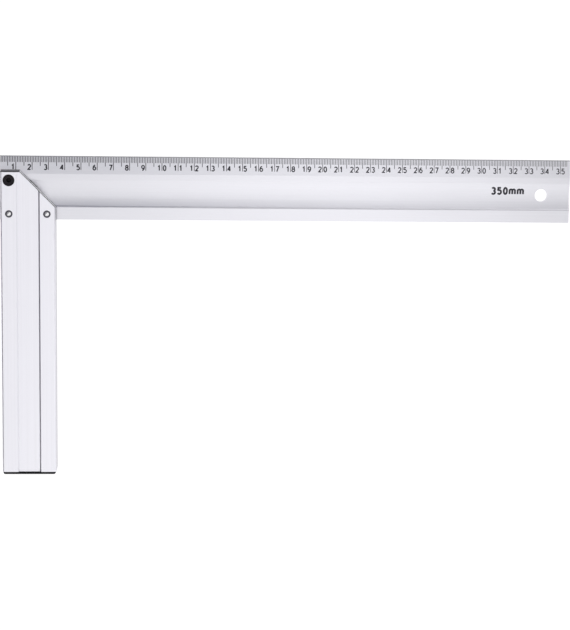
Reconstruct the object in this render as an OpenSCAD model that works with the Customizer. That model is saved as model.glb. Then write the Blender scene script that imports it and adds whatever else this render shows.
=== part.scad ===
// Flat square: an aluminium blade with a bevelled scale edge, riveted and screwed
// into the slot of a mitred, hollow handle that a plastic cap closes at its foot.
// The square lies on the back of its handle, with the blade along X.

/* [Blade] */
// Length of the blade
blade_len = 356; // [200:1:600]
// Width of the bevel that carries the scale
bevel_w = 10.9; // [10:0.1:16]
// Width of the flat ridge beside the bevel
ridge_w = 3.7; // [2:0.1:8]
// Width of the finger scoop
scoop_w = 15.8; // [10:0.1:22]
// Width of the small step from the scoop up to the flange
step_w = 0.6; // [0.2:0.1:1.5]
// Width of the flange along the inner edge
flange_w = 8.1; // [7.5:0.1:14]
// Thickness at the scale edge
edge_t = 1.6; // [1:0.1:2.4]
// Chamfer that breaks the upper corner of the scale edge
edge_break = 0.4; // [0.1:0.1:0.6]
// Thickness at the ridge
ridge_t = 3.2; // [2.6:0.1:4]
// Thickness of the flange
flange_t = 4; // [3.6:0.1:6]
// Height of the step from the scoop up to the flange
step_h = 0.5; // [0.2:0.1:1]
// Radius of the scoop's floor
scoop_r = 29; // [20:0.1:60]

/* [Hanging hole] */
// Diameter of the hanging hole
hang_d = 8; // [4:0.1:11]
// Distance of the hole's centre from the blade's free end
hang_inset = 17.8; // [10:0.1:40]
// Distance of the hole's centre from the scale edge
hang_drop = 22; // [18:0.1:26]

/* [Handle] */
// Width of the handle, along the blade
handle_w = 33.6; // [30:0.5:50]
// Length of the extrusion, without its cap
handle_len = 189.2; // [100:0.1:300]
// Thickness of the handle
handle_t = 16; // [15:0.5:24]
// Radius of the four long edges
corner_r = 1; // [0.4:0.1:2]
// Width of each raised rail
rail_w = 9.5; // [9:0.05:11]
// Width of the slope between a rail and the middle panel
slope_w = 0.9; // [0.3:0.1:1.5]
// Depth of the middle panel below the rails
recess_depth = 0.8; // [0.2:0.1:1.5]
// Solid metal between a side face and the hollow core
side_wall = 11.5; // [10:0.1:13]
// Wall between the middle panel and the hollow core
panel_wall = 2.2; // [1:0.1:3]
// Radius of the hollow core's corners
core_r = 1; // [0.3:0.1:2]
// Length of the square end left beside the mitre
top_flat = 11.8; // [11:0.1:20]
// Angle of the mitre
mitre_angle = 45; // [30:1:60]
// Chamfer that breaks the cut edges of the rails and the middle panels
deburr = 0.4; // [0.1:0.1:0.7]

/* [Blade in the handle] */
// Height of the scale edge above the end of the handle
blade_above = 9; // [4:0.1:12]
// How far the blade's end stands out of the handle's outer side
blade_overhang = 0.85; // [0:0.05:3]
// Distance of each fastener from the nearer side of the handle
fastener_inset = 5.15; // [5:0.05:6.5]

/* [Rivets] */
// Distance of the rivets from the blade's inner edge
rivet_edge = 3.9; // [3:0.1:4.5]
// Diameter of the rivet's shank
rivet_shank = 3.4; // [2.8:0.1:4]
// Diameter of the hollow in the rivet's front end
rivet_bore = 2.5; // [1.8:0.1:2.6]
// Depth of the hollow in the rivet's front end
rivet_hollow = 1; // [0.8:0.1:4]
// Radius of the rolled lip at each end
lip_r = 0.5; // [0.46:0.02:0.7]

/* [Clamp screw] */
// Distance of the screw from the end of the handle
screw_drop = 5.5; // [5:0.1:8]
// Diameter of the screw's shank
screw_d = 4; // [3:0.5:4]
// Length of the screw under its head
screw_len = 10; // [8:0.5:11]
// Diameter of the screw's head
head_d = 7; // [5.5:0.1:7.5]
// Height of the screw's head
head_h = 4; // [2.5:0.1:4.4]
// Depth of the head below the rail
head_sink = 0.2; // [0:0.1:0.5]
// Chamfer round the top of the head
head_chamfer = 0.3; // [0.1:0.05:0.5]
// Width across the flats of the hexagon socket
socket_af = 3; // [2:0.5:3]
// Depth of the hexagon socket
socket_depth = 2; // [1:0.1:2.2]

/* [End cap] */
// Thickness of the cap's plate
cap_t = 1.6; // [1.2:0.1:4]
// Setback of the cap's plate from the outside of the handle
cap_inset = 0.5; // [0:0.05:1.2]
// Chamfer of the cap's two outer corners, seen from the front
cap_corner = 0.8; // [0.2:0.1:1]
// Chamfer along the front and the back of the cap's outer face
cap_chamfer = 0.4; // [0.2:0.1:1]
// Length of the plug inside the handle
plug_len = 12; // [6:0.5:24]
// Wall of the hollow plug
plug_wall = 1.6; // [1:0.1:2.2]
// Taper at the leading end of the plug
plug_lead = 0.6; // [0.2:0.1:0.9]

/* [Clearances] */
// Gap between the blade and each wall of its slot
slot_clear = 0.05; // [0.02:0.01:0.2]
// Gap round the shank of a rivet
rivet_clear = 0.05; // [0.02:0.01:0.1]
// Gap round the lip of a rivet in its counterbore
seat_clear = 0.1; // [0.05:0.01:0.2]
// Gap round the screw's shank in the front rail and the blade
screw_clear = 0.15; // [0.05:0.01:0.3]
// Gap round the screw's head in its counterbore
head_clear = 0.15; // [0.05:0.01:0.3]
// Gap round the screw's shank where it is held in the back rail
thread_clear = 0.05; // [0.02:0.01:0.1]
// Gap round the plug of the cap
plug_clear = 0.05; // [0.02:0.01:0.2]

/* [Hidden] */
$fn = 64;
// Sides of the large circle that draws the scoop's floor
scoop_sides = 360;
// Overcut that carries a cutting shape past the face it opens
over = 1;

// The blade's section, measured from the scale edge and from the flat back
ridge_y = bevel_w;
scoop_y = ridge_y + ridge_w;
scoop_mid_y = scoop_y + scoop_w / 2;
step_y = scoop_y + scoop_w;
flange_y = step_y + step_w;
blade_w = flange_y + flange_w;
break_z = edge_t + (ridge_t - edge_t) * edge_break / bevel_w;
scoop_start = [scoop_y, ridge_t];
scoop_end = [step_y, flange_t - step_h];
scoop_chord = scoop_end - scoop_start;
scoop_centre = (scoop_start + scoop_end) / 2
    + [-scoop_chord.y, scoop_chord.x] / norm(scoop_chord)
    * sqrt(scoop_r ^ 2 - norm(scoop_chord) ^ 2 / 4);

// Places in the square, from the corner where the scale begins; Y runs down the handle as minus
handle_x = blade_overhang;
handle_y = -blade_above;
foot_y = handle_y - handle_len;
overall_h = cap_t - foot_y;
mid_z = handle_t / 2;
blade_z = mid_z - flange_t / 2;
outer_x = handle_x + fastener_inset;
inner_x = handle_x + handle_w - fastener_inset;
rivet_y = rivet_edge - blade_w;
screw_y = handle_y - screw_drop;
mitre_run = handle_w / cos(mitre_angle) + 2 * over;

// Sizes that fit one piece to another
slot_t = flange_t + 2 * slot_clear;
slot_floor_y = -blade_w - slot_clear;
core_w = handle_w - 2 * side_wall;
core_t = handle_t - 2 * recess_depth - 2 * panel_wall;
rivet_hole_d = rivet_shank + 2 * rivet_clear;
lip_d = rivet_shank + 2 * lip_r;
lip_seat_d = lip_d + 2 * seat_clear;
lip_seat_depth = 2 * lip_r;
screw_hole_d = screw_d + 2 * screw_clear;
thread_hole_d = screw_d + 2 * thread_clear;
head_seat_d = head_d + 2 * head_clear;
head_top_z = handle_t - head_sink;
head_base_z = head_top_z - head_h;
plug_w = core_w - 2 * plug_clear;
plug_t = core_t - 2 * plug_clear;
plug_r = core_r - plug_clear;

// Sets the middle of the outline over the origin
module in_frame() {
    translate([-blade_len / 2, overall_h / 2, 0])
        children();
}

// A rectangle from the origin with four round corners
module round_rectangle(size, r) {
    translate([r, 0])
        square([size.x - 2 * r, size.y]);
    translate([0, r])
        square([size.x, size.y - 2 * r]);
    for (x = [r, size.x - r], y = [r, size.y - r])
        translate([x, y])
            circle(r = r);
}

// A bore along Z, centred at a place in the square
module bore(x, y, d, z0, z1) {
    translate([x, y, z0])
        cylinder(d = d, h = z1 - z0);
}

// Section of the blade: flat back, broken scale edge, bevel, ridge, round scoop, step and flange
module blade_section() {
    difference() {
        polygon([
            [0, 0], [blade_w, 0], [blade_w, flange_t], [scoop_mid_y, flange_t], [scoop_mid_y, ridge_t],
            [ridge_y, ridge_t], [edge_break, break_z], [0, edge_t - edge_break]
        ]);
        // Scoop, from the ridge up to the slope of the step
        intersection() {
            translate(scoop_centre)
                circle(r = scoop_r, $fn = scoop_sides);
            polygon([
                [ridge_y, 0], [step_y - step_w, 0], [step_y - step_w, flange_t - 2 * step_h],
                [flange_y + step_w, flange_t + step_h], [ridge_y, flange_t + step_h]
            ]);
        }
    }
}

module blade() {
    z0 = blade_z - over;
    z1 = blade_z + flange_t + over;
    color("#dcdde3")
    in_frame()
    difference() {
        translate([0, 0, blade_z])
            rotate([90, 0, 90])
                linear_extrude(blade_len)
                    mirror([1, 0])
                        blade_section();
        bore(blade_len - hang_inset, -hang_drop, hang_d, z0, z1);
        for (x = [outer_x, inner_x])
            bore(x, rivet_y, rivet_hole_d, z0, z1);
        bore(outer_x, screw_y, screw_hole_d, z0, z1);
    }
}

// Shallow channel with sloped sides that leaves a rail on each side of one face
module panel_recess() {
    floor_z = handle_t - recess_depth;
    polygon([
        [rail_w, handle_t + over], [rail_w, handle_t], [rail_w + slope_w, floor_z],
        [handle_w - rail_w - slope_w, floor_z], [handle_w - rail_w, handle_t],
        [handle_w - rail_w, handle_t + over]
    ]);
}

// Section of the handle's extrusion, the same on its front and its back
module handle_section() {
    difference() {
        round_rectangle([handle_w, handle_t], corner_r);
        panel_recess();
        translate([0, handle_t])
            mirror([0, 1])
                panel_recess();
        translate([side_wall, (handle_t - core_t) / 2])
            round_rectangle([core_w, core_t], core_r);
    }
}

// Wedge that breaks an edge along X, where a face towards +Y meets the face at +Z
module edge_wedge(length) {
    rotate([90, 0, 90])
        linear_extrude(length)
            polygon([
                [-deburr, 0], [0, -deburr], [over, -deburr], [over, over], [-deburr, over]
            ]);
}

// Wedges at one depth below both faces of the handle, for an edge along X that starts at the origin
module edge_wedges(length, depth) {
    translate([0, 0, handle_t - depth])
        edge_wedge(length);
    translate([0, 0, depth])
        mirror([0, 0, 1])
            edge_wedge(length);
}

// Wedges along the square end and the mitre, at one depth below both faces of the handle
module end_wedges(depth) {
    translate([handle_x - over, handle_y, 0])
        edge_wedges(top_flat + over, depth);
    translate([handle_x + top_flat, handle_y, 0])
        rotate(-mitre_angle)
            translate([-over, 0, 0])
                edge_wedges(mitre_run, depth);
}

// Counterbores and bore that a rivet fills from face to face
module rivet_bores(x) {
    bore(x, rivet_y, rivet_hole_d, -over, handle_t + over);
    bore(x, rivet_y, lip_seat_d, -over, lip_seat_depth);
    bore(x, rivet_y, lip_seat_d, handle_t - lip_seat_depth, handle_t + over);
}

module handle() {
    color("#e4e4ea")
    in_frame()
    difference() {
        translate([handle_x, handle_y, 0])
            rotate([90, 0, 0])
                linear_extrude(handle_len)
                    handle_section();
        // Slot for the blade, open at the end and on both sides
        translate([handle_x - over, slot_floor_y, mid_z - slot_t / 2])
            cube([handle_w + 2 * over, handle_y - slot_floor_y + over, slot_t]);
        // Mitre corner
        translate([handle_x + top_flat, handle_y, 0])
            rotate(-mitre_angle)
                translate([-over, 0, -over])
                    cube([mitre_run, handle_w, handle_t + 2 * over]);
        // Broken edges of the rails and, between them, of the middle panels
        end_wedges(0);
        intersection() {
            end_wedges(recess_depth);
            translate([handle_x + rail_w + slope_w, foot_y, -over])
                cube([handle_w - 2 * rail_w - 2 * slope_w, handle_len + over, handle_t + 2 * over]);
        }
        rivet_bores(outer_x);
        rivet_bores(inner_x);
        bore(outer_x, screw_y, head_seat_d, head_base_z, handle_t + over);
        bore(outer_x, screw_y, screw_hole_d, mid_z, handle_t);
        bore(outer_x, screw_y, thread_hole_d, -over, mid_z);
    }
}

// A chamfered outline of the cap's plate, its outer side towards minus
module cap_outline(width, c) {
    polygon([
        [0, 0], [width, 0], [width, c - cap_t], [width - c, -cap_t], [c, -cap_t], [0, c - cap_t]
    ]);
}

module end_cap() {
    plate_w = handle_w - 2 * cap_inset;
    plate_t = handle_t - 2 * cap_inset;
    color("#26272b")
    in_frame()
    translate([handle_x, foot_y, 0]) {
        // Plate, chamfered all round by crossing its front and side outlines
        translate([cap_inset, 0, cap_inset])
            intersection() {
                linear_extrude(plate_t)
                    cap_outline(plate_w, cap_corner);
                translate([plate_w, 0, 0])
                    rotate([0, -90, 0])
                        linear_extrude(plate_w)
                            cap_outline(plate_t, cap_chamfer);
            }
        // Hollow plug with a tapered lead
        translate([side_wall + plug_clear, plug_len, (handle_t - plug_t) / 2])
            rotate([90, 0, 0])
                difference() {
                    linear_extrude(plug_len)
                        round_rectangle([plug_w, plug_t], plug_r);
                    translate([plug_wall, plug_wall, -over])
                        cube([plug_w - 2 * plug_wall, plug_t - 2 * plug_wall, plug_len + over]);
                    plug_lead_wedges();
                }
    }
}

// Wedges that taper the two broad sides of the plug at its leading end
module plug_lead_wedges() {
    for (side = [0, 1])
        translate([-over, side * plug_t, 0])
            mirror([0, side, 0])
                rotate([90, 0, 90])
                    linear_extrude(plug_w + 2 * over)
                        polygon([
                            [-over, -over], [plug_lead, -over], [plug_lead, 0],
                            [0, plug_lead], [-over, plug_lead]
                        ]);
}

// A rivet with a round lip at each end, flush with both rails and hollow at its front end
module rivet(x) {
    color("#8d8f95")
    in_frame()
    translate([x, rivet_y, 0])
        rotate_extrude() {
            difference() {
                square([rivet_shank / 2, handle_t - lip_r]);
                translate([-over, handle_t - rivet_hollow])
                    square([over + rivet_bore / 2, rivet_hollow]);
            }
            for (z = [lip_r, handle_t - lip_r])
                translate([rivet_shank / 2, z])
                    circle(r = lip_r);
        }
}

module rivet_outer() {
    rivet(outer_x);
}

module rivet_inner() {
    rivet(inner_x);
}

module clamp_screw() {
    color("#1c1c1f")
    in_frame()
    translate([outer_x, screw_y, 0])
        difference() {
            union() {
                translate([0, 0, head_base_z - screw_len])
                    cylinder(d = screw_d, h = screw_len + head_h / 2);
                translate([0, 0, head_base_z])
                    cylinder(d = head_d, h = head_h - head_chamfer);
                translate([0, 0, head_top_z - head_chamfer])
                    cylinder(d1 = head_d, d2 = head_d - 2 * head_chamfer, h = head_chamfer);
            }
            translate([0, 0, head_top_z - socket_depth])
                cylinder(d = socket_af / cos(30), h = socket_depth + over, $fn = 6);
        }
}

blade();
handle();
end_cap();
rivet_outer();
rivet_inner();
clamp_screw();
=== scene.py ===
"""Looks of a flat square: satin aluminium, a printed millimetre scale, soft studio light."""

import math

import bpy
from mathutils import Matrix, Vector


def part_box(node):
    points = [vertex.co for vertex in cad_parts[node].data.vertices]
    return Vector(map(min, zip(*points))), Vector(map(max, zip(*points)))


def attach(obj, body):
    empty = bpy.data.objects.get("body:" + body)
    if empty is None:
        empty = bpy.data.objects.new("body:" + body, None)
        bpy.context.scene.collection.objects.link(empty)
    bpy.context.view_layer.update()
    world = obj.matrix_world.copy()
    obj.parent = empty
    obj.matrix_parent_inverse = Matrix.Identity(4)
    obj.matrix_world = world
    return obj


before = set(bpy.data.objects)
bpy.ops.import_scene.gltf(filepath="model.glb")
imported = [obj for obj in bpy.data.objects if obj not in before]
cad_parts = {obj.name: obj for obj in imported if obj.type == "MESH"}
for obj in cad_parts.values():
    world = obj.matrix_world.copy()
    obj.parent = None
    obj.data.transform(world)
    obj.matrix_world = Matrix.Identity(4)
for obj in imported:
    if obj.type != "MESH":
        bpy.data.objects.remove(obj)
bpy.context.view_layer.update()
BLADE_LOW, BLADE_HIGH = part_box("blade")
HANDLE_LOW, HANDLE_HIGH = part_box("handle")

MM = 0.001

# Where the handle's upper end meets its mitre, at the handle's front face
MITRE_START = 11.8 * MM
MITRE_CORNER = Vector((HANDLE_LOW.x + MITRE_START, HANDLE_HIGH.y, HANDLE_HIGH.z))

# Camera: where it stands, what it looks at and how far it is turned about its own axis
CAMERA_PLACE = Vector((-81.1, 195.6, 1209.1)) * MM
CAMERA_TARGET = Vector((-0.2, 1.0, 8.0)) * MM
CAMERA_ROLL = math.radians(0.82)
CAMERA_LENS = 110.5
CAMERA_SENSOR = 36.0

# Studio: floor, cards that give the metal its darker sides, and one soft lamp overhead
FLOOR_SIZE = 8.0
FLOOR_GAP = 0.2 * MM
FLOOR_ALBEDO = 0.85
FLOOR_GLOW = 0.92
FLOOR_SHADE = 0.2
CORNER_START = (-0.32, 0.31)
CORNER_END = (0.06, 0.79)
CORNER_HEIGHT = 1.4
CORNER_GREY = (0.24, 0.25, 0.315)
BACK_END = (1.13, 0.79)
BACK_LOW = 0.75
BACK_HEIGHT = 1.44
BACK_GREY = (0.39, 0.385, 0.435)
LEFT_START = (-0.5, -0.26)
LEFT_END = (-0.5, 0.2)
LEFT_HEIGHT = 0.55
FOOT_START = (-0.41, 0.19)
FOOT_END = (-0.08, 0.61)
FOOT_HEIGHT = 0.3
FLAG_START = (0.78, -0.27)
FLAG_END = (0.78, 0.79)
FLAG_LOW = 0.68
FLAG_HIGH = 1.56
CARD_BLACK = (0.03, 0.03, 0.04)
LAMP_PLACE = Vector((0.11, -0.08, 0.77))
LAMP_SIZE = (0.3, 1.37)
LAMP_POWER = 0.57

# Scale: one mark for each millimetre, measured from the blade's left end, down from its upper edge;
# widths are given at the scale's start and at its end
SCALE_LAST = 354
NUMERAL_LAST = 35
CENTIMETRE = 10
TICK_WIDTHS = (0.41, 0.29)
TICK_SHORT = 3.8
TICK_HALF = 6.1
TICK_LONG = 8.45
TICK_START = 0.45
NUMERAL_HEIGHT = 3.7
NUMERAL_STROKES = (0.78, 0.58)
NUMERAL_FOOT = 8.65
NUMERAL_GAP_LEFT = 0.62
NUMERAL_GAP_RIGHT = 0.5

# Size mark on the scoop near the blade's free end
MARK_TEXT = "350mm"
MARK_HEIGHT = 5.1
MARK_STROKE = 1.2
MARK_LEFT = 306.3
MARK_FOOT = 21.9
MARK_SPACE = 0.5

# Hollow in the front end of the rivets, the shares of its radius between which its painted highlight ends,
# the side of it that carries the painted highlight, where that starts as a share of the radius, and how
# bright the other side is
RIVET_BORE = 2.5 * MM
BORE_FADE = (1.02, 1.12)
HIGHLIGHT_SIDE = (0.7, -0.7, 0.0)
HIGHLIGHT_FROM = -0.5
HIGHLIGHT_LEAST = 0.25

# Webs that close the handle's hollow core at the mitre, in front of the blade and behind it
CORE_SIDE = 11.5 * MM
CORE_DEEP = 3.0 * MM
CORE_ROUND = 1.0 * MM
WEB_THICK = 1.5 * MM
WEB_CLEAR = 0.05 * MM

# Ink film: how far it stands on the metal, how far it reaches into it and its longest straight stretch;
# the degrees a drawn curve turns at each step and its fewest steps; the least cosine at a stroke's corners
INK_RISE = 0.02 * MM
INK_SINK = 0.02 * MM
PRINT_STEP = 0.6
ARC_STEP = 20
ARC_FEWEST = 4
CORNER_LEAST = 0.5

# Dull cut faces, some of them darkened as painted shade; strips of painted shade along edges; and painted
# shade that darkens the metal in inner corners
CUT_ROUGHNESS = 0.8
PATCH_MARGIN = 0.02 * MM
SCALE_EDGE_SHADE_WIDTH = 0.4 * MM
STEP_DOWN = 31.0 * MM
STEP_SHADE_WIDTH = 0.5 * MM
TOP_END_SHADE_WIDTH = 0.45 * MM
MITRE_SHADE_WIDTH = 0.26 * MM
SHADOW_LINE_WIDTH = 0.5 * MM
CORNER_SHADE_REACH = 2.0 * MM
CORNER_SHADE_MOST = 0.8

# Masks: from which value to which they go from 0 to 1, as cosines of angles or as the share of open sky
EDGE_COSINES = (0.99, 0.8)
FACING_COSINES = (0.9, 0.96)
CORNER_SHADE_SKY = (0.8, 0.5)

# Patterns: the range that most of a noise covers, the lines of the extrusion, the clouds in the anodising,
# the worn edges, and the roughness of each finish from the low end of its pattern to the high end
NOISE_RANGE = (0.3, 0.7)
GRAIN_ALONG = 6
GRAIN_ACROSS = 900
CLOUD_RANGE = (0.35, 0.65)
CLOUD_MOST = 0.35
METAL_WEAR = 0.3 * MM
PLASTIC_WEAR = 0.25 * MM
OXIDE_WEAR = 0.15 * MM
METAL_ROUGHNESS = (0.34, 0.41)
PLASTIC_ROUGHNESS = (0.75, 0.9)
STEEL_ROUGHNESS = (0.3, 0.45)
OXIDE_ROUGHNESS = (0.34, 0.5)
INK_ROUGHNESS = (0.45, 0.65)

# Colours of the finishes
BLADE_COLOUR = (0.76, 0.755, 0.80)
HANDLE_COLOUR = (0.866, 0.858, 0.913)
# The handle's sawn upper end: dull cut metal, darkened as painted shade
SAWN_SHADE_COLOUR = (0.3, 0.3, 0.31)
MITRE_COLOUR = (0.96, 0.96, 0.97)
# The handle's right side, darkened as painted shade
FENCE_SHADE_COLOUR = (0.68, 0.675, 0.71)
# Painted shade along the blade's upper edge
SCALE_EDGE_SHADE_COLOUR = (0.46, 0.46, 0.48)
# Painted shade along the step up to the flange
STEP_SHADE_COLOUR = (0.72, 0.715, 0.75)
# Painted shade in a strip along the handle's upper end
TOP_END_SHADE_COLOUR = (0.05, 0.05, 0.06)
# Painted shade in a strip along the handle's mitre
MITRE_SHADE_COLOUR = (0.03, 0.03, 0.035)
# Painted shade that darkens the metal in inner corners
CORNER_SHADE_COLOUR = (0.2, 0.2, 0.22)
# Painted shadow on the blade just above the handle's upper end
SHADOW_LINE_COLOUR = (0.2, 0.195, 0.2)
STEEL_COLOUR = (0.115, 0.11, 0.13)
# Painted highlight inside the rivets' bores
BORE_HIGHLIGHT_COLOUR = (0.97, 0.97, 0.98)
BLACK_COLOUR = (0.012, 0.012, 0.014)
SCREW_COLOUR = (0.021, 0.018, 0.021)
INK_COLOUR = (0.016, 0.014, 0.023)


def node(tree, kind, inputs=None, **settings):
    """Adds a node, sets its options, and sets or links its inputs by name or place."""
    made = tree.nodes.new(kind)
    for option, value in settings.items():
        setattr(made, option, value)
    for socket, value in (inputs or {}).items():
        if isinstance(value, bpy.types.NodeSocket):
            tree.links.new(value, made.inputs[socket])
        else:
            made.inputs[socket].default_value = value
    return made


def mix_colour(tree, factor, first, second):
    """The colour that goes from first to second as factor goes from 0 to 1."""
    made = node(tree, "ShaderNodeMix", {0: factor, 6: first, 7: second}, data_type="RGBA")
    return made.outputs[2]


def mix_value(tree, factor, first, second):
    """The number that goes from first to second as factor goes from 0 to 1."""
    return node(tree, "ShaderNodeMix", {0: factor, 2: first, 3: second}, data_type="FLOAT").outputs[0]


def span(tree, value, source, target):
    """The value carried from the source range over to the target range, and held at its ends."""
    inputs = {
        "Value": value,
        "From Min": source[0],
        "From Max": source[1],
        "To Min": target[0],
        "To Max": target[1],
    }
    return node(tree, "ShaderNodeMapRange", inputs).outputs["Result"]


def shade(colour, factor):
    """A colour made darker or lighter, with its alpha."""
    return tuple(min(1.0, part * factor) for part in colour) + (1.0,)


def noise(tree, vector, scale, detail):
    """A cloudy pattern of values between 0 and 1."""
    return node(tree, "ShaderNodeTexNoise", {"Vector": vector, "Scale": scale, "Detail": detail}).outputs[0]


def new_material(name):
    """A material with its node tree, its main shader and the object's own coordinates."""
    material = bpy.data.materials.new(name)
    material.use_nodes = True
    tree = material.node_tree
    shader = tree.nodes["Principled BSDF"]
    coordinates = node(tree, "ShaderNodeTexCoord")
    return material, tree, shader, coordinates


def finish_surface(tree, shader, colour, roughness, relief):
    """Links colour and roughness to the shader, and a fine relief of (strength, depth, height pattern)."""
    strength, depth, height = relief
    bump = node(tree, "ShaderNodeBump", {"Strength": strength, "Distance": depth, "Height": height})
    tree.links.new(colour, shader.inputs["Base Color"])
    tree.links.new(roughness, shader.inputs["Roughness"])
    tree.links.new(bump.outputs[0], shader.inputs["Normal"])


def edge_mask(tree, radius):
    """1 along sharp edges, fading to 0 on the faces beside them."""
    rounded = node(tree, "ShaderNodeBevel", {"Radius": radius}, samples=6)
    plain = node(tree, "ShaderNodeNewGeometry")
    likeness = node(
        tree,
        "ShaderNodeVectorMath",
        {0: rounded.outputs["Normal"], 1: plain.outputs["Normal"]},
        operation="DOT_PRODUCT",
    )
    return span(tree, likeness.outputs["Value"], EDGE_COSINES, (0.0, 1.0))


def grime_mask(tree, distance, most):
    """Painted shade: grows to most in inner corners, and is 0 on open faces."""
    open_sky = node(tree, "ShaderNodeAmbientOcclusion", {"Distance": distance}, samples=8)
    return span(tree, open_sky.outputs["AO"], CORNER_SHADE_SKY, (0.0, most))


def facing_mask(tree, coordinates, direction):
    """1 on faces that look along the direction, 0 on the others."""
    towards = node(
        tree,
        "ShaderNodeVectorMath",
        {0: coordinates.outputs["Normal"], 1: direction},
        operation="DOT_PRODUCT",
    )
    return span(tree, towards.outputs["Value"], FACING_COSINES, (0.0, 1.0))


def strip_mask(tree, coordinates, edge_point, direction, width):
    """1 in the strip of that width inside the plane through that point, square to the direction."""
    reach = node(
        tree,
        "ShaderNodeVectorMath",
        {0: coordinates.outputs["Object"], 1: direction},
        operation="DOT_PRODUCT",
    )
    middle = edge_point.dot(direction) - width / 2
    inputs = {0: reach.outputs["Value"], 1: middle, 2: width / 2 + PATCH_MARGIN}
    return node(tree, "ShaderNodeMath", inputs, operation="COMPARE").outputs[0]


def patch_mask(tree, coordinates, strips, side):
    """1 where all the strips cross; with a side, only on faces that look that way."""
    masks = [strip_mask(tree, coordinates, *strip) for strip in strips]
    if side is not None:
        masks.append(facing_mask(tree, coordinates, side))
    patch = masks[0]
    for mask in masks[1:]:
        patch = node(tree, "ShaderNodeMath", {0: patch, 1: mask}, operation="MULTIPLY").outputs[0]
    return patch


def anodised_aluminium(name, colour, grain_scale, patches, cut_faces):
    """Satin aluminium with fine lines along the extrusion, bright worn edges, strips of painted shade, dull
    cut faces of which some are darkened as painted shade, and painted shade in inner corners.
    """
    material, tree, shader, coordinates = new_material(name)
    place = coordinates.outputs["Object"]
    along = node(tree, "ShaderNodeMapping", {"Vector": place, "Scale": grain_scale}).outputs[0]
    lines = noise(tree, along, scale=1.0, detail=6.0)
    grit = noise(tree, place, scale=7000.0, detail=2.0)
    clouds = noise(tree, place, scale=22.0, detail=3.0)

    metal = mix_colour(tree, lines, shade(colour, 0.93), shade(colour, 1.06))
    tint = span(tree, clouds, CLOUD_RANGE, (0.0, CLOUD_MOST))
    metal = mix_colour(tree, tint, metal, shade(colour, 0.965))
    wear = node(tree, "ShaderNodeMath", {0: edge_mask(tree, METAL_WEAR), 1: clouds}, operation="MULTIPLY")
    metal = mix_colour(tree, wear.outputs[0], metal, shade(colour, 1.06))
    roughness = span(tree, lines, NOISE_RANGE, METAL_ROUGHNESS)
    masks = []
    for strips, side, patch_colour in patches:
        masks.append((patch_mask(tree, coordinates, strips, side), patch_colour))
    for direction, face_colour in cut_faces:
        masks.append((facing_mask(tree, coordinates, direction), face_colour))
    # Each mask lays a dull colour or a painted shade over the metal
    for mask, dull_or_shade_colour in masks:
        metal = mix_colour(tree, mask, metal, dull_or_shade_colour + (1.0,))
        roughness = mix_value(tree, mask, roughness, CUT_ROUGHNESS)
    # Painted shade: the metal darkens in inner corners, where little open sky reaches
    metal = mix_colour(tree, grime_mask(tree, CORNER_SHADE_REACH, CORNER_SHADE_MOST), metal, CORNER_SHADE_COLOUR + (1.0,))
    height = node(tree, "ShaderNodeMath", {0: lines, 1: grit}, operation="ADD").outputs[0]

    shader.inputs["Metallic"].default_value = 1.0
    finish_surface(tree, shader, metal, roughness, (0.08, 0.02 * MM, height))
    return material


def moulded_plastic(name, colour):
    """Matt black plastic with a fine moulded grain and slightly greyed edges."""
    material, tree, shader, coordinates = new_material(name)
    place = coordinates.outputs["Object"]
    grain = noise(tree, place, scale=4200.0, detail=3.0)
    clouds = noise(tree, place, scale=60.0, detail=3.0)
    body = mix_colour(tree, clouds, shade(colour, 0.75), shade(colour, 1.3))
    body = mix_colour(tree, edge_mask(tree, PLASTIC_WEAR), body, shade(colour, 2.2))
    roughness = span(tree, grain, NOISE_RANGE, PLASTIC_ROUGHNESS)
    shader.inputs["Specular IOR Level"].default_value = 0.08
    finish_surface(tree, shader, body, roughness, (0.35, 0.03 * MM, grain))
    return material


def plated_steel(name, colour, middle, bore_radius):
    """Dull plated steel of a hollow rivet, with a painted highlight inside its bore, brightest on one side.
    """
    material, tree, shader, coordinates = new_material(name)
    place = coordinates.outputs["Object"]
    level = node(tree, "ShaderNodeVectorMath", {0: place, 1: (1, 1, 0)}, operation="MULTIPLY")
    axis = (middle.x, middle.y, 0)
    radius = node(tree, "ShaderNodeVectorMath", {0: level.outputs[0], 1: axis}, operation="DISTANCE")
    fade = [bore_radius * share for share in BORE_FADE]
    bore = span(tree, radius.outputs["Value"], fade, (1.0, 0.0))
    offset = node(tree, "ShaderNodeVectorMath", {0: level.outputs[0], 1: axis}, operation="SUBTRACT")
    # Painted highlight: bright on one side of the bore, greyer on the other
    side = node(tree, "ShaderNodeVectorMath", {0: offset.outputs[0], 1: HIGHLIGHT_SIDE}, operation="DOT_PRODUCT")
    lit_side = span(tree, side.outputs["Value"], (HIGHLIGHT_FROM * bore_radius, 0.0), (HIGHLIGHT_LEAST, 1.0))
    bore = node(tree, "ShaderNodeMath", {0: bore, 1: lit_side}, operation="MULTIPLY").outputs[0]
    marks = noise(tree, place, scale=3500.0, detail=4.0)
    clouds = noise(tree, place, scale=400.0, detail=2.0)
    body = mix_colour(tree, clouds, shade(colour, 0.8), shade(colour, 1.15))
    body = mix_colour(tree, bore, body, BORE_HIGHLIGHT_COLOUR + (1.0,))
    roughness = span(tree, marks, NOISE_RANGE, STEEL_ROUGHNESS)
    shader.inputs["Metallic"].default_value = 1.0
    finish_surface(tree, shader, body, roughness, (0.2, 0.02 * MM, marks))
    return material


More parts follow.
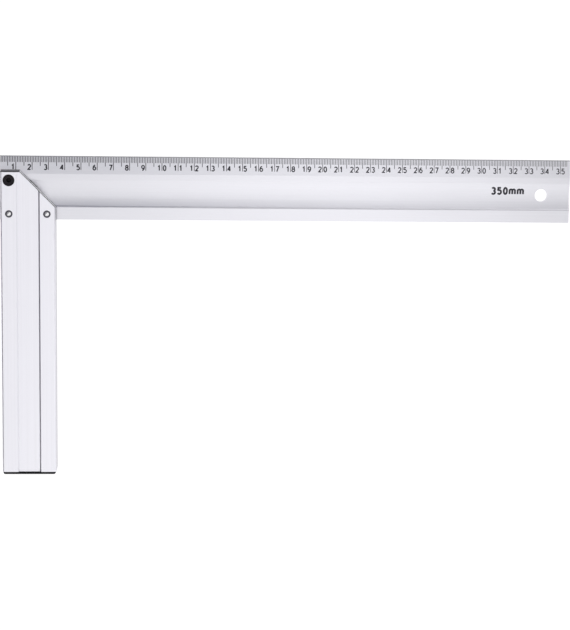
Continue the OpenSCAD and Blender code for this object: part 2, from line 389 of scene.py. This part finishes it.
def black_oxide(name, colour):
    """Blackened steel of the screw, a little worn where a key and fingers rub it, with painted shade in its
    inner corners.
    """
    material, tree, shader, coordinates = new_material(name)
    place = coordinates.outputs["Object"]
    grain = noise(tree, place, scale=5000.0, detail=3.0)
    clouds = noise(tree, place, scale=500.0, detail=3.0)
    body = mix_colour(tree, clouds, shade(colour, 0.7), shade(colour, 1.5))
    body = mix_colour(tree, edge_mask(tree, OXIDE_WEAR), body, shade(colour, 3.0))
    # Painted shade: the steel goes near black in inner corners, such as the gap round the head
    body = mix_colour(tree, grime_mask(tree, CORNER_SHADE_REACH, 1.0), body, shade(colour, 0.1))
    roughness = span(tree, grain, NOISE_RANGE, OXIDE_ROUGHNESS)
    shader.inputs["Specular IOR Level"].default_value = 0.1
    finish_surface(tree, shader, body, roughness, (0.2, 0.02 * MM, grain))
    return material


def scale_ink(name, colour):
    """Dark printed ink, uneven where the print is thin."""
    material, tree, shader, coordinates = new_material(name)
    place = coordinates.outputs["Object"]
    speckle = noise(tree, place, scale=6000.0, detail=3.0)
    fade = noise(tree, place, scale=90.0, detail=2.0)
    body = mix_colour(tree, fade, shade(colour, 0.7), shade(colour, 1.6))
    roughness = span(tree, speckle, NOISE_RANGE, INK_ROUGHNESS)
    finish_surface(tree, shader, body, roughness, (0.15, 0.01 * MM, speckle))
    return material


def make_camera():
    """A long lens high over the square, turned as the photograph is."""
    forward = (CAMERA_TARGET - CAMERA_PLACE).normalized()
    right = forward.cross(Vector((0, 1, 0))).normalized()
    up = right.cross(forward)
    turn = Matrix((right, up, -forward)).transposed().to_4x4()
    lens = bpy.data.cameras.new("camera")
    lens.lens = CAMERA_LENS
    lens.sensor_width = CAMERA_SENSOR
    camera = bpy.data.objects.new("camera", lens)
    camera.matrix_world = Matrix.Translation(CAMERA_PLACE) @ turn @ Matrix.Rotation(CAMERA_ROLL, 4, "Z")
    bpy.context.scene.collection.objects.link(camera)
    bpy.context.scene.camera = camera


def make_world():
    """An even white sky."""
    world = bpy.data.worlds.new("studio")
    world.use_nodes = True
    world.node_tree.nodes["Background"].inputs["Color"].default_value = (1.0, 1.0, 1.0, 1.0)
    world.node_tree.nodes["Background"].inputs["Strength"].default_value = 1.0
    bpy.context.scene.world = world


def stage_quad(name, corners, material):
    """A flat piece of the studio, which isn't part of the object."""
    mesh = bpy.data.meshes.new(name)
    mesh.from_pydata([tuple(corner) for corner in corners], [], [(0, 1, 2, 3)])
    mesh.materials.append(material)
    quad = bpy.data.objects.new(name, mesh)
    bpy.context.scene.collection.objects.link(quad)
    return quad


def floor_material():
    """White to the camera and in reflections, with the object's shadow; a pale floor to other light."""
    material = bpy.data.materials.new("floor")
    material.use_nodes = True
    material.cycles.emission_sampling = "NONE"
    tree = material.node_tree
    tree.nodes.remove(tree.nodes["Principled BSDF"])
    path = node(tree, "ShaderNodeLightPath").outputs
    seen = node(tree, "ShaderNodeMath", {0: path["Is Camera Ray"], 1: path["Is Glossy Ray"]}, operation="ADD")
    seen = node(
        tree,
        "ShaderNodeMath",
        {0: seen.outputs[0], 1: path["Is Transmission Ray"]},
        operation="ADD",
        use_clamp=True,
    )
    glow = node(tree, "ShaderNodeEmission", {"Strength": FLOOR_GLOW})
    shadow = node(tree, "ShaderNodeBsdfDiffuse", {"Color": (FLOOR_SHADE, FLOOR_SHADE, FLOOR_SHADE, 1.0)})
    white = node(tree, "ShaderNodeAddShader", {0: glow.outputs[0], 1: shadow.outputs[0]})
    pale = node(tree, "ShaderNodeBsdfDiffuse", {"Color": (FLOOR_ALBEDO, FLOOR_ALBEDO, FLOOR_ALBEDO, 1.0)})
    both = node(tree, "ShaderNodeMixShader", {0: seen.outputs[0], 1: pale.outputs[0], 2: white.outputs[0]})
    tree.links.new(both.outputs[0], tree.nodes["Material Output"].inputs["Surface"])
    return material


def card_material(name, colour):
    """Matt card of one colour."""
    material = bpy.data.materials.new(name)
    material.use_nodes = True
    shader = material.node_tree.nodes["Principled BSDF"]
    shader.inputs["Base Color"].default_value = colour + (1.0,)
    shader.inputs["Roughness"].default_value = 1.0
    shader.inputs["Specular IOR Level"].default_value = 0.0
    return material


def make_floor():
    """A level floor just under the object."""
    half = FLOOR_SIZE / 2
    corners = [Vector((x * half, y * half, -FLOOR_GAP)) for x, y in ((-1, -1), (1, -1), (1, 1), (-1, 1))]
    stage_quad("floor", corners, floor_material())


def make_card(name, start, end, low, high, material):
    """An upright card between two corners of the studio, which only the object sees."""
    foot, head = Vector((0, 0, low)), Vector((0, 0, high))
    start, end = Vector((*start, 0)), Vector((*end, 0))
    card = stage_quad(name, [start + foot, end + foot, end + head, start + head], material)
    card.visible_camera = False


def make_cards():
    """Grey cards behind the object, a black one low on its left and a black flag high on its right."""
    black = card_material("card_black", CARD_BLACK)
    corner = card_material("corner_grey", CORNER_GREY)
    back = card_material("back_grey", BACK_GREY)
    make_card("card_left", LEFT_START, LEFT_END, 0, LEFT_HEIGHT, black)
    make_card("card_foot", FOOT_START, FOOT_END, 0, FOOT_HEIGHT, corner)
    make_card("card_corner", CORNER_START, CORNER_END, FOOT_HEIGHT, CORNER_HEIGHT, corner)
    make_card("card_back", CORNER_END, BACK_END, BACK_LOW, BACK_HEIGHT, back)
    make_card("flag_right", FLAG_START, FLAG_END, FLAG_LOW, FLAG_HIGH, black)


def make_lamp():
    """A long soft lamp that hangs level over the object and looks straight down."""
    light = bpy.data.lights.new("softbox", "AREA")
    light.shape = "RECTANGLE"
    light.size, light.size_y = LAMP_SIZE
    light.energy = LAMP_POWER
    lamp = bpy.data.objects.new("softbox", light)
    lamp.location = LAMP_PLACE
    lamp.visible_camera = False
    bpy.context.scene.collection.objects.link(lamp)


def on_blade(along, down):
    """Point and outward normal of the blade's face, in millimetres from its left end and upper edge."""
    above = Vector((BLADE_LOW.x + along * MM, BLADE_HIGH.y - down * MM, BLADE_HIGH.z + 1.0))
    hit, point, normal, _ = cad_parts["blade"].ray_cast(above, Vector((0, 0, -1)))
    if not hit:
        raise ValueError(f"no blade under {along:.2f}, {down:.2f} mm")
    return point, normal


def add_piece(name, corners, faces, material):
    """A piece of the square made from a mesh, fixed to its body and given a material."""
    mesh = bpy.data.meshes.new(name)
    mesh.from_pydata(corners, [], faces)
    mesh.materials.append(material)
    piece = bpy.data.objects.new(name, mesh)
    bpy.context.scene.collection.objects.link(piece)
    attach(piece, "root")


def print_piece(name, flat_corners, faces, ink):
    """Lays flat print on the blade: each corner is (along, down, True on top of the film)."""
    corners = []
    for along, down, top in flat_corners:
        point, normal = on_blade(along, down)
        corners.append(point + normal * (INK_RISE if top else -INK_SINK))
    add_piece(name, corners, faces, ink)


def arc(middle_x, middle_y, across, up, start, end):
    """Points along part of an oval, between two angles in degrees."""
    steps = max(ARC_FEWEST, round(abs(end - start) / ARC_STEP))
    angles = [math.radians(start + (end - start) * step / steps) for step in range(steps + 1)]
    return [(middle_x + across * math.cos(angle), middle_y + up * math.sin(angle)) for angle in angles]


def refined(points, longest):
    """The same line with points added, so that no stretch of it is longer than longest."""
    made = [points[0]]
    for (x0, y0), (x1, y1) in zip(points, points[1:]):
        steps = max(1, math.ceil(math.hypot(x1 - x0, y1 - y0) / longest))
        made += [(x0 + (x1 - x0) * n / steps, y0 + (y1 - y0) * n / steps) for n in range(1, steps + 1)]
    return made


# Middle lines of plain drawn signs, 1 tall, each sign a list of strokes
SIGNS = {
    "0": [arc(0.26, 0.5, 0.26, 0.5, 90, 450)],
    "1": [[(0.06, 0.76), (0.3, 1), (0.3, 0)]],
    "2": [arc(0.26, 0.73, 0.26, 0.27, 165, -35) + [(0, 0), (0.54, 0)]],
    "3": [arc(0.25, 0.76, 0.24, 0.24, 150, -90), arc(0.25, 0.26, 0.28, 0.26, 90, -150)],
    "4": [[(0.4, 0), (0.4, 1)], [(0.4, 1), (0, 0.28), (0.56, 0.28)]],
    "5": [[(0.5, 1), (0.08, 1), (0.04, 0.53)], arc(0.26, 0.32, 0.28, 0.32, 140, -150)],
    "6": [arc(0.27, 0.31, 0.27, 0.31, 90, 450), arc(0.44, 0.31, 0.44, 0.69, 180, 90)],
    "7": [[(0, 1), (0.54, 1), (0.18, 0)]],
    "8": [arc(0.27, 0.76, 0.23, 0.24, 90, 450), arc(0.27, 0.27, 0.27, 0.27, 90, 450)],
    "9": [arc(0.27, 0.69, 0.27, 0.31, 90, 450), arc(0.1, 0.69, 0.44, 0.69, 0, -90)],
    "m": [
        [(0, 0), (0, 0.76)],
        arc(0.22, 0.56, 0.22, 0.19, 180, 0) + [(0.44, 0)],
        arc(0.66, 0.56, 0.22, 0.19, 180, 0) + [(0.88, 0)],
    ],
}


def sign_width(sign, height, stroke):
    """Full width of a drawn sign, its stroke included."""
    return stroke + (height - stroke) * max(x for line in SIGNS[sign] for x, _ in line)


def stroke_sides(points, stroke):
    """Left and right side points of a stroke drawn along a line, mitred at its corners."""
    closed = points[0] == points[-1]
    sides = []
    for index, (x, y) in enumerate(points):
        before = points[index - 1] if index > 0 else (points[-2] if closed else points[0])
        after = points[index + 1] if index < len(points) - 1 else (points[1] if closed else points[-1])
        arriving, leaving = Vector((x, y)) - Vector(before), Vector(after) - Vector((x, y))
        arriving = (arriving if arriving.length else leaving).normalized()
        leaving = (leaving if leaving.length else arriving).normalized()
        across = Vector((-arriving.y - leaving.y, arriving.x + leaving.x)).normalized()
        reach = across * (stroke / 2 / max(CORNER_LEAST, across.dot(Vector((-arriving.y, arriving.x)))))
        sides.append(((x - reach.x, y - reach.y), (x + reach.x, y + reach.y)))
    return sides


def add_bar(corners, faces, sides):
    """Adds a thin solid bar to growing lists; sides holds the (left, right) points along it."""
    first = len(corners)
    for left, right in sides:
        corners += [(*left, False), (*right, False), (*right, True), (*left, True)]
    for step in range(len(sides) - 1):
        ring, after = first + 4 * step, first + 4 * step + 4
        for side in range(4):
            turn = (side + 1) % 4
            faces.append([ring + side, ring + turn, after + turn, after + side])
    last = first + 4 * len(sides) - 4
    faces.append([first + 3, first + 2, first + 1, first])
    faces.append([last, last + 1, last + 2, last + 3])


def add_sign(corners, faces, sign, left, foot, height, stroke):
    """Adds one drawn sign, its left end and foot at those places on the blade, in millimetres."""
    size = height - stroke
    for line in SIGNS[sign]:
        placed = [(left + stroke / 2 + x * size, foot - stroke / 2 - y * size) for x, y in line]
        add_bar(corners, faces, stroke_sides(refined(placed, PRINT_STEP), stroke))


def print_width(widths, along):
    """Width of a printed line that many millimetres along the scale, which is heaviest by the handle."""
    first, last = widths
    return first + (last - first) * along / SCALE_LAST


def make_ticks(ink):
    """One mark for each millimetre, longer at each fifth and longest at each tenth."""
    corners, faces = [], []
    for millimetre in range(1, SCALE_LAST + 1):
        end = TICK_SHORT
        if millimetre % (CENTIMETRE // 2) == 0:
            end = TICK_HALF
        if millimetre % CENTIMETRE == 0:
            end = TICK_LONG
        line = [(millimetre, TICK_START), (millimetre, end)]
        add_bar(corners, faces, stroke_sides(line, print_width(TICK_WIDTHS, millimetre)))
    print_piece("scale_ticks", corners, faces, ink)


def make_numerals(ink):
    """Centimetre numbers: the first digit left of its mark, the second right of it."""
    corners, faces = [], []
    for number in range(1, NUMERAL_LAST + 1):
        mark = number * CENTIMETRE
        stroke = print_width(NUMERAL_STROKES, mark)
        left = mark - NUMERAL_GAP_LEFT - sign_width("0", NUMERAL_HEIGHT, stroke)
        for digit in str(number):
            add_sign(corners, faces, digit, left, NUMERAL_FOOT, NUMERAL_HEIGHT, stroke)
            left = mark + NUMERAL_GAP_RIGHT
    print_piece("scale_numerals", corners, faces, ink)


def make_size_mark(ink):
    """The blade's length in plain drawn signs."""
    corners, faces = [], []
    left = MARK_LEFT
    for sign in MARK_TEXT:
        add_sign(corners, faces, sign, left, MARK_FOOT, MARK_HEIGHT, MARK_STROKE)
        left += sign_width(sign, MARK_HEIGHT, MARK_STROKE) + MARK_SPACE
    print_piece("size_mark", corners, faces, ink)


def dress_nodes():
    """Gives each CAD node its finish."""
    right, up, front = Vector((1, 0, 0)), Vector((0, 1, 0)), Vector((0, 0, 1))
    slanting = (right + up).normalized()
    shadow_above_end = (MITRE_CORNER + SHADOW_LINE_WIDTH * up, up, SHADOW_LINE_WIDTH)
    along_end = (MITRE_CORNER, right, MITRE_START)
    blade_patches = [
        # Painted shade along the blade's upper edge
        ([(BLADE_HIGH, up, SCALE_EDGE_SHADE_WIDTH)], None, SCALE_EDGE_SHADE_COLOUR),
        # Painted shade along the step up to the flange
        ([(BLADE_HIGH - STEP_DOWN * up, up, STEP_SHADE_WIDTH)], front, STEP_SHADE_COLOUR),
        # Painted shadow on the blade just above the handle's upper end
        ([shadow_above_end, along_end], front, SHADOW_LINE_COLOUR),
    ]
    handle_patches = [
        # Painted shade in a strip along the handle's upper end
        ([(MITRE_CORNER, up, TOP_END_SHADE_WIDTH)], None, TOP_END_SHADE_COLOUR),
        # Painted shade in a strip along the handle's mitre
        ([(MITRE_CORNER, slanting, MITRE_SHADE_WIDTH)], None, MITRE_SHADE_COLOUR),
    ]
    # The sawn upper end is dull and darkened as painted shade, the mitre is bright cut metal, and the right
    # side is darkened as painted shade
    handle_cuts = [(up, SAWN_SHADE_COLOUR), (slanting, MITRE_COLOUR), (right, FENCE_SHADE_COLOUR)]
    blade_grain = (GRAIN_ALONG, GRAIN_ACROSS, GRAIN_ACROSS)
    handle_grain = (GRAIN_ACROSS, GRAIN_ALONG, GRAIN_ACROSS)
    finishes = {
        "blade": anodised_aluminium("blade_satin", BLADE_COLOUR, blade_grain, blade_patches, []),
        "handle": anodised_aluminium(
            "handle_satin", HANDLE_COLOUR, handle_grain, handle_patches, handle_cuts
        ),
        "end_cap": moulded_plastic("cap_plastic", BLACK_COLOUR),
        "clamp_screw": black_oxide("screw_black", SCREW_COLOUR),
    }
    for rivet in ("rivet_outer", "rivet_inner"):
        low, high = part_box(rivet)
        finishes[rivet] = plated_steel(rivet + "_steel", STEEL_COLOUR, (low + high) / 2, RIVET_BORE / 2)
    for name, finish in finishes.items():
        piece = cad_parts[name]
        piece.data.materials.clear()
        piece.data.materials.append(finish)


def make_mitre_web(name, side):
    """Closes the core between the blade and the handle's front wall (side 1) or back wall (side -1)."""
    middle = (HANDLE_LOW.z + HANDLE_HIGH.z) / 2
    left = HANDLE_LOW.x + CORE_SIDE + WEB_CLEAR
    right = HANDLE_HIGH.x - CORE_SIDE - WEB_CLEAR
    near = BLADE_HIGH.z - middle + 2 * WEB_CLEAR
    far = HANDLE_HIGH.z - middle - CORE_DEEP - WEB_CLEAR
    section = [(left, near), (right, near)]
    section += arc(right - CORE_ROUND, far - CORE_ROUND, CORE_ROUND, CORE_ROUND, 0, 90)
    section += arc(left + CORE_ROUND, far - CORE_ROUND, CORE_ROUND, CORE_ROUND, 90, 180)
    # The back web is a mirror image, so its outline runs the other way to keep its faces turned outwards
    section = section[::side]
    mitre = MITRE_CORNER.x + MITRE_CORNER.y - 2 * WEB_CLEAR
    back = [Vector((x, mitre - x - WEB_THICK, middle + side * height)) for x, height in section]
    front = [Vector((x, mitre - x, middle + side * height)) for x, height in section]
    count = len(section)
    faces = [list(range(count)), list(range(2 * count - 1, count - 1, -1))]
    for step in range(count):
        after = (step + 1) % count
        faces.append([step, count + step, count + after, after])
    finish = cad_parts["handle"].data.materials[0]
    add_piece(name, back + front, faces, finish)


bpy.context.scene.view_settings.view_transform = "Standard"
make_camera()
make_world()
make_floor()
make_cards()
make_lamp()
dress_nodes()
make_mitre_web("mitre_web_front", 1)
make_mitre_web("mitre_web_back", -1)
ink = scale_ink("scale_ink", INK_COLOUR)
make_ticks(ink)
make_numerals(ink)
make_size_mark(ink)
